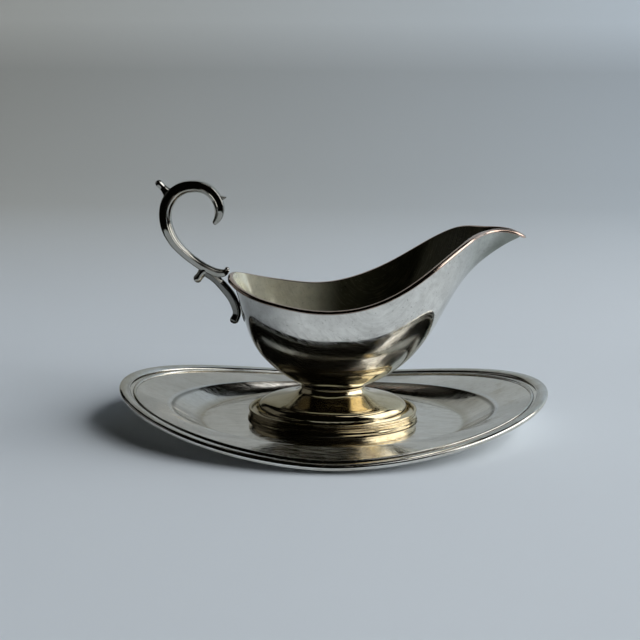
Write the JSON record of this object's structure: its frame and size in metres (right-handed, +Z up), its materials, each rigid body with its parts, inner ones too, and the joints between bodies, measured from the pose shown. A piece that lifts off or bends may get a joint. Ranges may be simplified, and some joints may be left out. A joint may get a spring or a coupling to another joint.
{
  "type": "sauce boat",
  "caption": "Footed oval sauce boat with a long rising spout and a flying C-scroll handle, standing loose on an oval underplate with raised ends.",
  "frame": {"origin": "middle of the underplate's flat underside, at table height", "axes": "+X towards the spout, +Z up, handle at -X, the XZ plane is the mirror plane"},
  "size_m": [0.2302, 0.1552, 0.1294],
  "materials": {
    "plate": "satin",
    "plate_wire": "polished",
    "foot": "polished",
    "bowl": "satin",
    "rim_wire": "polished",
    "handle": "polished"
  },
  "bodies": {
    "underplate": {"plate_dish": "plate", "plate_rim_wire": "plate_wire", "plate_reed_wire": "plate_wire"},
    "boat": {"foot_skirt": "foot", "foot_bead_wire": "foot", "foot_dome": "foot", "neck_collar": "foot", "bowl": "bowl", "bowl_rim_wire": "rim_wire", "handle_scroll": "handle", "handle_bracket": "handle", "handle_seat": "handle"}
  },
  "joints": [
    {"name": "boat_lift", "type": "slide", "parent": "underplate", "child": "boat", "axis": [0, 0, 1], "range_m": [0, 0.12]}
  ]
}
